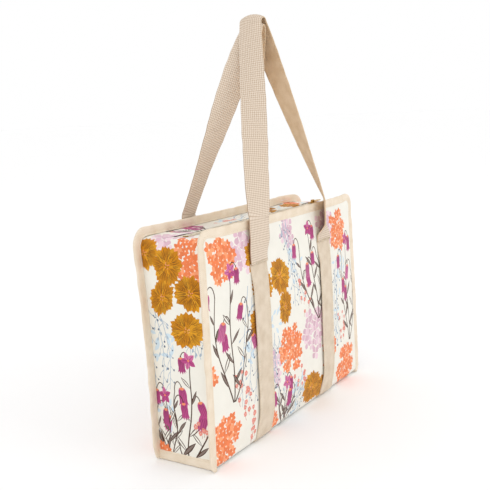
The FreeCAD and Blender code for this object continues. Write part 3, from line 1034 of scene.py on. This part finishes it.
# ---------------------------------------------------------------- seams and tapes
def arch_line(step, foot):
    """The seam line from the left foot over the top to the right foot, as places
    along it, positions across and up, and the directions that point outward."""
    straight = top_level - corner_radius - foot
    top = 2 * (half_width - corner_radius)
    whole = 2 * straight + 2 * corner_length + top
    q = np.linspace(0, whole, round(whole / step) + 1)
    x, z, nx, nz = (np.zeros_like(q) for _ in range(4))
    for i, value in enumerate(q):
        side = -1 if value < whole / 2 else 1
        w = value if side < 0 else whole - value
        angle = min(max((w - straight) / corner_radius, 0), math.pi / 2)
        over = max(w - straight - corner_length, 0)
        up = min(w, straight)
        x[i] = side * (half_width - corner_radius + corner_radius * math.cos(angle) - over)
        z[i] = foot + up + corner_radius * math.sin(angle)
        nx[i] = side * math.cos(angle)
        nz[i] = math.sin(angle)
    return q, x, z, nx, nz


def wobble(q, period, seed):
    """A slow uneven wave along a seam, from -1 to 1."""
    rng = random.Random(seed)
    value = 0
    for k in range(4):
        value = value + np.sin(q / period * (1 + 0.63 * k) * 2 * math.pi + rng.uniform(0, 6.3))
    return value / 4


def binding_section():
    """Half the section of a folded tape: how far out from the seam, and how thick
    each side is there.  The stitch line pinches it and the fold is full."""
    return [(0.2, 0.82), (0.8, 1.0), (2.0, 0.9), (2.8, 0.76), (3.6, 0.96), (6.5, 1.08),
            (9.5, 1.04), (11.0, 0.86), (11.8, 0.5)]


def binding(face, end):
    """The binding on the front or back seam."""
    q, x, z, nx, nz = arch_line(3.0, foot_low[2] + 0.4)
    puff = 0.22 * wobble(q, 26, 3 + face)
    lean = 0.7 * wobble(q, 90, 6 + face)
    reach = 1 + 0.035 * wobble(q, 60, 9 + face)
    rounding = 9.0 if face < 0 else 20.0
    reach *= 0.25 + 0.75 * np.sqrt(np.clip((z - foot_low[2]) / rounding, 0, 1))
    profile = binding_section()
    section = profile + [(seam_width, 0.0)] + [(o, -h) for o, h in profile[::-1]]
    rings, flat = [], []
    for out, thick in section:
        o = out * reach
        tilt = lean * (out / seam_width) ** 2
        y = face * seam_middle + seam_half * thick * (1 + puff * (out > 3)) * face + tilt
        rings.append(np.stack([x + nx * o, y + 0 * o, z + nz * o], -1))
        flat.append(np.stack([q, 0 * q + out + (0 if thick > 0 else 30), 0 * q], -1))
    rings = settle(np.stack(rings, 1))
    tubes("binding_tape_" + end, [rings], bias_tape, "bias_binding",
          mm=[np.stack(flat, 1)], instead_of=["binding_" + end])


def binding_stitches(face, end):
    """The row of stitches that closes a binding, seen on both its sides."""
    q, x, z, nx, nz = arch_line(stitch_pitch, foot_low[2] + 2)
    rows = []
    o = 2.8
    for side in (-1, 1):
        y = face * seam_middle + side * seam_half * 0.8
        place = settle(np.stack([x + nx * o, 0 * x + y, z + nz * o], -1))
        normal = np.zeros_like(place)
        normal[:, 1] = side
        rows.append((place, normal))
    stitches("binding_stitching_" + end, rows)


def stitches(name, rows, **more):
    """Rows of single stitches.  Each row is places along it and the cloth's outward
    direction there."""
    points, faces = [], []
    for place, normal in rows:
        run = directions(place)
        side = np.cross(normal, run)
        for p, t, n, b in zip(place, run, normal, side):
            start = len(points)
            points.append(p - t * stitch_length / 2 - n * 0.2)
            for along in (-0.22, 0.22):
                centre = p + t * stitch_length * along
                points += [centre + b * thread_width / 2, centre + n * thread_width * 0.55,
                           centre - b * thread_width / 2, centre - n * thread_width * 0.4]
            points.append(p + t * stitch_length / 2 - n * 0.2)
            for j in range(4):
                k = (j + 1) % 4
                faces.append((start, start + 1 + k, start + 1 + j))
                faces.append((start + 1 + j, start + 1 + k, start + 5 + k, start + 5 + j))
                faces.append((start + 5 + j, start + 5 + k, start + 9))
    piece(name, points, faces, thread, "thread", **more)


def foot_binding(side, name):
    """The folded tape along the foot of a gusset."""
    y = np.linspace(-half_depth + 1.5, half_depth - 1.5, 40)
    inner = half_width - 0.3
    outer = -foot_low[0]
    middle = (inner + outer) / 2
    half = (outer - inner) / 2
    low, high = foot_low[2], foot_high[2]
    section = [(low, 0.9), (low + 1.5, 1.1), (low + 5, 1.15), (high - 3.4, 1.0), (high - 2.6, 0.7),
               (high - 1.8, 1.0), (high - 0.4, 0.8), (high, 0.3)]
    section = section + [(z, -h) for z, h in section[::-1]]
    puff = 1 + 0.2 * wobble(y, 21, 40 + side)
    rise = 0.5 * wobble(y, 45, 50 + side)
    rings = np.stack([np.stack([side * (middle + half * h * puff), y,
                                z + rise * (z - low) / seam_width], -1) for z, h in section], 1)
    flat = np.stack([np.stack([y, 0 * y + z + (0 if h > 0 else 30), 0 * y], -1)
                     for z, h in section], 1)
    tubes(name + "_tape", [settle(rings)], bias_tape, "bias_binding", mm=[flat],
          instead_of=[name])


def foot_stitches(side, end):
    """The stitches along the foot binding."""
    y = np.arange(-half_depth + 5, half_depth - 4, stitch_pitch)
    x = side * -foot_low[0] - side * 0.15
    place = settle(np.stack([0 * y + x, y, 0 * y + foot_high[2] - 2.6], -1))
    normal = np.zeros_like(place)
    normal[:, 0] = side
    stitches("base_binding_stitching_" + end, [(place, normal)])


def tape_places():
    """Places along a tape band, closer together at the two folds under the bag."""
    start = top_level - tape_top
    bend = wrap_length / 2 - turn_y - fold_length
    values = dense_near(wrap_length, 5.0, [(bend, bend + fold_length),
                                           (wrap_length - bend - fold_length, wrap_length - bend)])
    values = [v for v in values if start + 1 < v < wrap_length - start - 1]
    return np.array([start] + values + [wrap_length - start])


def tape_edge_rise(s, share):
    """How far the tape's left edge stands off the front, in a shallow open curl."""
    along = smoothed((s - top_level + tape_top - 4) / 30) * smoothed((face_height - 6 - s) / 30)
    return edge_curl * along * smoothed((-share - curl_start) / (1 - curl_start))


def tape_band(side, end):
    """Flat tape up the front, under the bag and up the back."""
    s = tape_places()
    half = tape_width / 2
    edge = 0.35 * wobble(s, 75, 60 + side)
    top = [(-1, 0.25), (-0.985, tape_thickness * 0.85), (-0.9, tape_thickness),
           (-0.86, tape_thickness * 0.86), (-0.5, tape_thickness), (0, tape_thickness),
           (0.5, tape_thickness), (0.86, tape_thickness * 0.86), (0.9, tape_thickness),
           (0.985, tape_thickness * 0.85), (1, 0.25)]
    under = [(0.6, 0.05), (0, 0.05), (-0.6, 0.05), (-0.85, 0.05)]
    rings, flat = [], []
    for share, lift in top + under:
        u = side * tape_centre + share * half + edge
        rings.append(place_on_wrap(u, s, lift + tape_edge_rise(s, share)))
        flat.append(np.stack([0 * s + share * half + (50 if lift < 0.1 else 0), s, 0 * s], -1))
    tubes("tape_band_cloth_" + end, [np.stack(rings, 1)], smooth_tape, "cotton_tape",
          mm=[np.stack(flat, 1)], instead_of=["tape_band_" + end])


def tape_stitches():
    """A row of stitches along each edge of both tapes."""
    start = top_level - tape_top + 6
    s = np.arange(start, wrap_length - start, stitch_pitch)
    rows = []
    for side in (-1, 1):
        for share in (-0.86, 0.86):
            u = side * tape_centre + share * tape_width / 2 + 0.35 * wobble(s, 75, 60 + side)
            _, out = wrap_flat(u, s)
            rise = tape_thickness * 0.9 + tape_edge_rise(s, share)
            rows.append((place_on_wrap(u, s, rise), out))
    stitches("tape_stitching", rows)


# ---------------------------------------------------------------- handles
# By face (-1 is the front) and side (-1 is the left): how far a leg stands off where it
# leaves the seam, and how many degrees it has turned there
foot_lift = {(-1, -1): 5.5, (-1, 1): 6.5, (1, -1): 2.5, (1, 1): 3.5}
foot_turn = {(-1, -1): 6.0, (-1, 1): 29.0, (1, -1): -10.0, (1, 1): 8.0}
sewn_trim = 12.0              # the sewn end of the webbing is cut this much shorter
turn_start = 24.0             # a leg has turned that far this high above its fold
grip_width = 34.0
grip_shift = 4.0              # the grip hangs a little to the right
grip_lean = 3.0               # and a little forward
half_bend = {-1: 10.0, 1: 6.0}     # half of each grip's width; the back one is inside
grip_cup = 3.2                # how far the webbing cups over the grip


def leg_line(face, side, shoulder, bend):
    """One leg of a handle from its sewn end to its shoulder: centre, degrees turned and
    width at each half knuckle."""
    lift, start_turn = foot_lift[face, side], foot_turn[face, side]
    foot_z = top_level + seam_width + 3.0
    x0 = side * tape_centre
    leg = []
    for z in np.arange(end_low[2] + sewn_trim, foot_z, weave_pitch / 2):
        sewn = place_on_wrap(np.array(x0), seam_place(face, z),
                             np.array(tape_thickness + webbing / 2))
        share = float(smoothed((z - fold_z) / turn_start))
        y = abs(sewn[1]) * (1 - share) + (fold_y + lift) * share
        leg.append(((x0, face * y, z), start_turn * share, tape_width))
    run = math.dist((x0, face * (fold_y + lift), foot_z),
                    (grip_shift + side * bend, -grip_lean, shoulder))
    count = round(run / (weave_pitch / 2))
    for i in range(count + 1):
        s = i / count
        x = x0 + (grip_shift + side * (bend - tape_centre)) * s
        y = face * (fold_y + lift) * (1 - s) - grip_lean * s
        z = foot_z + (shoulder - foot_z) * s
        width = tape_width + (grip_width - tape_width) * min(1, 4 * s)
        share = 1.45 * s - 0.45 * s * s if face < 0 else s ** 1.6
        leg.append(((x, y, z), start_turn + (90 - start_turn) * share, width))
    return leg


def handle_line(face, top, bend):
    """Centre line of a handle, its direction across and its width, from sewn end
    to sewn end."""
    shoulder = top - bend
    legs = [[(centre, (-side * math.cos(math.radians(a)), -math.sin(math.radians(a)), 0), width)
             for centre, a, width in leg_line(face, side, shoulder, bend)] for side in (-1, 1)]
    grip = []
    count = round(math.pi * bend / (weave_pitch / 2))
    for i in range(1, count):
        angle = math.pi * i / count
        centre = (grip_shift - bend * math.cos(angle), -grip_lean,
                  shoulder + bend * math.sin(angle))
        grip.append((centre, (0, -1, 0), grip_width))
    whole = legs[0] + grip + legs[1][::-1]
    centres, acrosses, widths = (np.array(values, float) for values in zip(*whole))
    return softened(centres, 3), acrosses, widths


def seam_place(face, z):
    """Place along the body cloth at a height on the front or back."""
    return np.array(top_level - z if face < 0 else wrap_length - top_level + z)


def softened(values, rounds):
    """The same line with its kinks eased, and its ends kept."""
    values = values.copy()
    for _ in range(rounds):
        values[1:-1] = (values[:-2] + 2 * values[1:-1] + values[2:]) / 4
    return values


def knuckle_relief(row, column):
    """Height of the weave at a point of the half-pitch grid."""
    if row % 2 and column % 2:
        over = (row // 2 + column // 2) % 2
        return 0.28 if over else 0.1
    return -0.22


def handle(face, end, top):
    """A whole handle with both its sewn ends: basket-weave webbing outside, smooth
    tape inside, coloured browner as painted shade inside the handle."""
    centres, across, widths = handle_line(face, top, half_bend[face])
    run = directions(centres)
    across -= run * np.sum(across * run, axis=1, keepdims=True)
    across /= np.linalg.norm(across, axis=1, keepdims=True)
    normal = np.cross(run, across)
    columns = 2 * round(tape_width / weave_pitch) + 1
    along = np.arange(len(centres)) * weave_pitch / 2
    rings, flat = [], []
    half = webbing / 2 - 0.3      # the knuckles fill the rest of the thickness
    share = np.linspace(-1, 1, columns)
    rows = [(v, 1, j) for j, v in enumerate(share)] + [(v, -1, j) for j, v in enumerate(share)][::-1]
    sway = 0.5 * wobble(along, 60, 70 + face)
    cup = 1.2 * (1 - (widths - grip_width) / (tape_width - grip_width))
    cup += grip_cup * smoothed((centres[:, 2] - top + 40) / 40)
    for v, side, j in rows:
        relief = np.array([knuckle_relief(i, j) if side < 0 else 0.1 for i in range(len(centres))])
        edge = 0.75 if abs(v) == 1 else 1.0
        lift = side * (half * edge + relief * (abs(v) < 1)) + cup * (v * v - 0.4)
        rings.append(centres + across * (v * widths / 2 + sway)[:, None] + normal * lift[:, None])
        flat.append(np.stack([0 * along + (v + 1) * tape_width / 2, along, 0 * along], -1))
    made = tubes("handle_webbing_" + end, [np.stack(rings, 1)], webbing_cloth, "cotton_webbing",
                 mm=[np.stack(flat, 1)], body=None,
                 instead_of=["handle_" + end, "handle_ends_" + end])
    # the inner faces take the browner backing tape: painted shade and warm bounced light inside the
    # handle
    inner = np.tile(np.arange(2 * columns) < columns, len(centres) - 1)
    made.data.materials.append(shaded_backing_tape)
    made.data.polygons.foreach_set("material_index", list(inner.astype(int)) + [0, 0])
    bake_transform(made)


def handle_stitches(face, end):
    """A box of stitches with a cross in it on each sewn end of a handle."""
    rows = []
    low, high = end_low[2] + sewn_trim + 2.5, end_high[2] - 1.5
    for side in (-1, 1):
        x0 = side * tape_centre - tape_width / 2 + 3
        x1 = x0 + tape_width - 6
        lines = [((x0, low), (x1, low)), ((x1, low), (x1, high)), ((x1, high), (x0, high)),
                 ((x0, high), (x0, low)), ((x0, low), (x1, high)), ((x0, high), (x1, low))]
        for start, stop in lines:
            count = max(2, round(math.dist(start, stop) / stitch_pitch))
            s = (np.arange(count) + 0.5) / count
            z = start[1] + (stop[1] - start[1]) * s
            place = place_on_wrap(start[0] + (stop[0] - start[0]) * s, seam_place(face, z),
                                  0 * s + tape_thickness + webbing + 0.15)
            normal = np.zeros_like(place)
            normal[:, 1] = face
            rows.append((place, normal))
    stitches("handle_box_stitching_" + end, rows, instead_of=["handle_stitching_" + end])


# ---------------------------------------------------------------- zip
def coil(x0, x1, face):
    """One side of the zip's coil, as rings round its bent wire."""
    turns = (x1 - x0) / coil_pitch
    a = np.linspace(0, 2 * math.pi * turns, round(turns * 10))
    middle_y = face * -(coil_low[1] + coil_high[1]) / 2
    middle_z = (coil_low[2] + coil_high[2]) / 2
    half_y = (coil_high[1] - coil_low[1]) / 2 - coil_wire
    half_z = (coil_high[2] - coil_low[2]) / 2 - coil_wire
    line = np.stack([x0 + (x1 - x0) * a / a[-1], middle_y + half_y * np.cos(a),
                     middle_z + half_z * np.sin(a)], -1)
    run = directions(line)
    out = np.stack([0 * a, np.cos(a), np.sin(a)], -1)
    side = np.cross(run, out)
    return np.stack([line + coil_wire * (out * math.cos(b) + side * math.sin(b))
                     for b in np.arange(5) * 2 * math.pi / 5], 1)


def woven_strip(x0, x1, face):
    """One side of the zip's tape, with a ribbed edge."""
    x = np.linspace(x0, x1, max(2, round((x1 - x0) / 4)) + 1)
    inner, outer = -zip_tape_high[1], -zip_tape_low[1]
    low, high = zip_tape_low[2], zip_tape_high[2]
    section = [(inner, low), (inner, high), (inner + 2.8, high), (inner + 3.2, high - 0.12),
               (inner + 3.6, high), (outer - 1, high), (outer, high - 0.2), (outer, low)]
    rings = np.stack([np.stack([x, 0 * x + face * y, 0 * x + z], -1) for y, z in section], 1)
    flat = np.stack([np.stack([x, 0 * x + y, 0 * x], -1) for y, z in section], 1)
    return (rings, flat) if face > 0 else (rings[:, ::-1], flat[:, ::-1])


def zip_side(face, end):
    """The coil and tape along one strip of the mouth."""
    rings, flat = woven_strip(-half_mouth, half_mouth, face)
    tubes("zip_tape_cloth_" + end, [rings], zip_cloth, "zip_tape", mm=[flat],
          body="mouth_" + end, instead_of=["zip_tape_" + end])
    tubes("zip_coil_wire_" + end, [coil(-half_mouth, half_mouth, face)], nylon, "zip_coil",
          body="mouth_" + end, instead_of=["zip_coil_" + end])


def zip_end_pieces():
    """The ends of the zip, past the strips that lift."""
    strips, coils = [], []
    start = half_mouth + 0.4
    for side in (-1, 1):
        for face in (-1, 1):
            x0, x1 = sorted((side * start, side * ends_high[0]))
            strips.append(woven_strip(x0, x1, face))
            x0, x1 = sorted((side * start, side * (-stops_low[0] - 3.3)))
            coils.append(coil(x0, x1, face))
    tubes("zip_end_tapes", [r for r, _ in strips], zip_cloth, "zip_tape",
          mm=[m for _, m in strips], instead_of=["zip_ends"])
    tubes("zip_end_coils", coils, nylon, "zip_coil")


def finished(name, material, ease, segments):
    """A shape kept from the frame, given its material and eased edges."""
    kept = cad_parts[name]
    kept.data.materials.clear()
    kept.data.materials.append(material)
    rounding = kept.modifiers.new("eased_edges", "BEVEL")
    rounding.width = ease * MM
    rounding.segments = segments
    rounding.limit_method = "ANGLE"


# ---------------------------------------------------------------- inside
def cloth_grid(name, place, a_values, b_values, flip, material, slot, **more):
    """A plain cloth over a grid of places."""
    a, b = np.meshgrid(a_values, b_values, indexing="ij")
    faces = [face[::flip] for face in grid_faces(*a.shape)]
    a, b = a.ravel(), b.ravel()
    return piece(name, place(a, b), faces, material, slot,
                 mm=np.column_stack([a, b, 0 * a]), **more)


def linings():
    """Plain cotton lining of the faces, base and gussets."""
    length = length_of_wrap(lining_inset, lining_rise)
    r = fold_radius - lining_inset
    bend = length / 2 - (turn_y + math.pi / 2 * r)
    turn = 1.6 * r
    bends = [(bend, bend + turn), (length - bend - turn, length - bend)]
    s = [0.5] + dense_near(length, cloth_step, bends) + [length - 0.5]
    reach = lining_high[0]
    made = cloth_grid("lining_body_cloth",
                      lambda u, s: place_on_wrap(u, s, 0.0, lining_inset, lining_rise),
                      np.linspace(-reach, reach, 51), np.array(s), 1,
                      lining, "lining", instead_of=["lining_body"])
    inset = half_width + lining_side_low[0]
    v = lining_side_high[1]
    for side, end in ((-1, "left"), (1, "right")):
        low = lining_low[2] + 6 - side_foot
        t = np.arange(low, gusset_length - 36, 4.0)
        made = cloth_grid("lining_gusset_cloth_" + end,
                          lambda t, v: place_on_gusset(side, t, v, 0.0, inset),
                          t, np.linspace(-v, v, 13), 1 if side > 0 else -1, lining, "lining",
                          instead_of=["lining_gusset_" + end])


# ---------------------------------------------------------------- surroundings
def floor():
    """A plain pale floor."""
    mesh = bpy.data.meshes.new("floor")
    reach = 60.0
    mesh.from_pydata([(-reach, -reach, 0), (reach, -reach, 0), (reach, reach, 0), (-reach, reach, 0)],
                     [], [(0, 1, 2, 3)])
    made = in_scene("floor", mesh)
    material, tree = start_material("pale_floor")
    finish_material(tree, {"Base Color": linear("#FFFFFF"), "Roughness": 0.9,
                           "Specular IOR Level": 0.1})
    mesh.materials.append(material)


def softbox(name, place, target, size, power):
    """A large soft lamp."""
    lamp = bpy.data.lights.new(name, "AREA")
    lamp.shape = "DISK"
    lamp.size = size
    lamp.energy = power
    made = in_scene(name, lamp)
    made.location = place
    made.rotation_euler = (Vector(target) - Vector(place)).to_track_quat("-Z", "Y").to_euler()


def studio():
    """An even white surround with a soft key light from the front right."""
    world = bpy.data.worlds.new("studio")
    world.use_nodes = True
    world.node_tree.nodes["Background"].inputs["Color"].default_value = (1, 1, 1, 1)
    world.node_tree.nodes["Background"].inputs["Strength"].default_value = 1.0
    bpy.context.scene.world = world
    middle = (0, 0, 0.2)
    softbox("key", (0.2, -2.6, 1.9), middle, 1.4, 9)
    softbox("fill", (-2.8, -0.4, 1.6), middle, 1.6, 3)
    bpy.context.scene.view_settings.view_transform = "Standard"


def camera():
    """The camera stands in front and to the left, a little above the mouth."""
    turn, rise, tilt = math.radians(-57.27), math.radians(9.45), math.radians(-2.81)
    back = Vector((math.sin(turn) * math.cos(rise), -math.cos(turn) * math.cos(rise), math.sin(rise)))
    right = Vector((math.cos(turn), math.sin(turn), 0))
    up = back.cross(right)
    tilted_right = right * math.cos(tilt) + up * math.sin(tilt)
    tilted_up = up * math.cos(tilt) - right * math.sin(tilt)
    data = bpy.data.cameras.new("camera")
    data.lens = 57.66
    data.clip_start = 0.01
    made = in_scene("camera", data)
    turned = Matrix((tilted_right, tilted_up, back)).transposed().to_4x4()
    made.matrix_world = Matrix.Translation((-0.9364, -0.5766, 0.4294)) @ turned
    bpy.context.scene.camera = made


# ---------------------------------------------------------------- the whole bag
canvas = printed_canvas()
bias_tape = plain_cloth("bias_cut_cotton", "#F0E2CF", "#E0CEB4", 1.2, 0.1)
smooth_tape = plain_cloth("smooth_cotton_tape", "#E2D3BF", "#CBB89F", 1.0, 0.08)
webbing_cloth = cotton_webbing()
# the smooth tape's cotton coloured browner: painted shade and warm bounced light on the handle's inner
# side
shaded_backing_tape = plain_cloth("cotton_backing_painted_shade", "#E2CAAC", "#CCAE88", 1.0, 0.08)
thread = plain_cloth("cotton_thread", "#F3E8D2", "#DCCBAC", 0.6, 0.05)
zip_cloth = plain_cloth("zip_tape_weave", "#F1E7D6", "#D9CCB5", 0.9, 0.08)
lining = plain_cloth("cotton_lining", "#F0E8DA", "#DDD2BE", 1.0, 0.08)
nylon = grain_material("moulded_nylon", "#EDE3D0", "#DCCFB8", 900, 0.42, ior=1.53)
brass = grain_material("polished_brass", "#D8B36A", "#B98F45", 700, 0.3, 1.0, 0.02)
pressed_board = grain_material("pressed_grey_board", "#B9B4AA", "#8F8A80", 500, 0.9)

camera()
floor()
studio()

wrap_moves = relaxed(*wrap_grid(), push=-air_push, seed=3)
gusset_moves = {side: relaxed(*gusset_grid(side), push=-side * air_push, seed=4 + side)
                for side in (-1, 1)}

body_cloth()
for side, name in ((-1, "side_gusset_left"), (1, "side_gusset_right")):
    gusset_cloth(side, name)
for face, end in ((-1, "front"), (1, "back")):
    mouth_strip_cloth(face, end)
    binding(face, end)
    binding_stitches(face, end)
    zip_side(face, end)
    handle_stitches(face, end)
for face, end, high in ((-1, "front", handle_high), (1, "back", back_handle_high)):
    handle(face, end, high[2] - webbing / 2)
for side, end in ((-1, "left"), (1, "right")):
    foot_binding(side, "base_binding_" + end)
    foot_stitches(side, end)
    tape_band(side, end)
tape_stitches()
zip_end_pieces()
for name in ("zip_slider", "zip_pull", "zip_stops"):
    finished(name, brass, 0.35, 3)
linings()
finished("base_board", pressed_board, 0.5, 2)
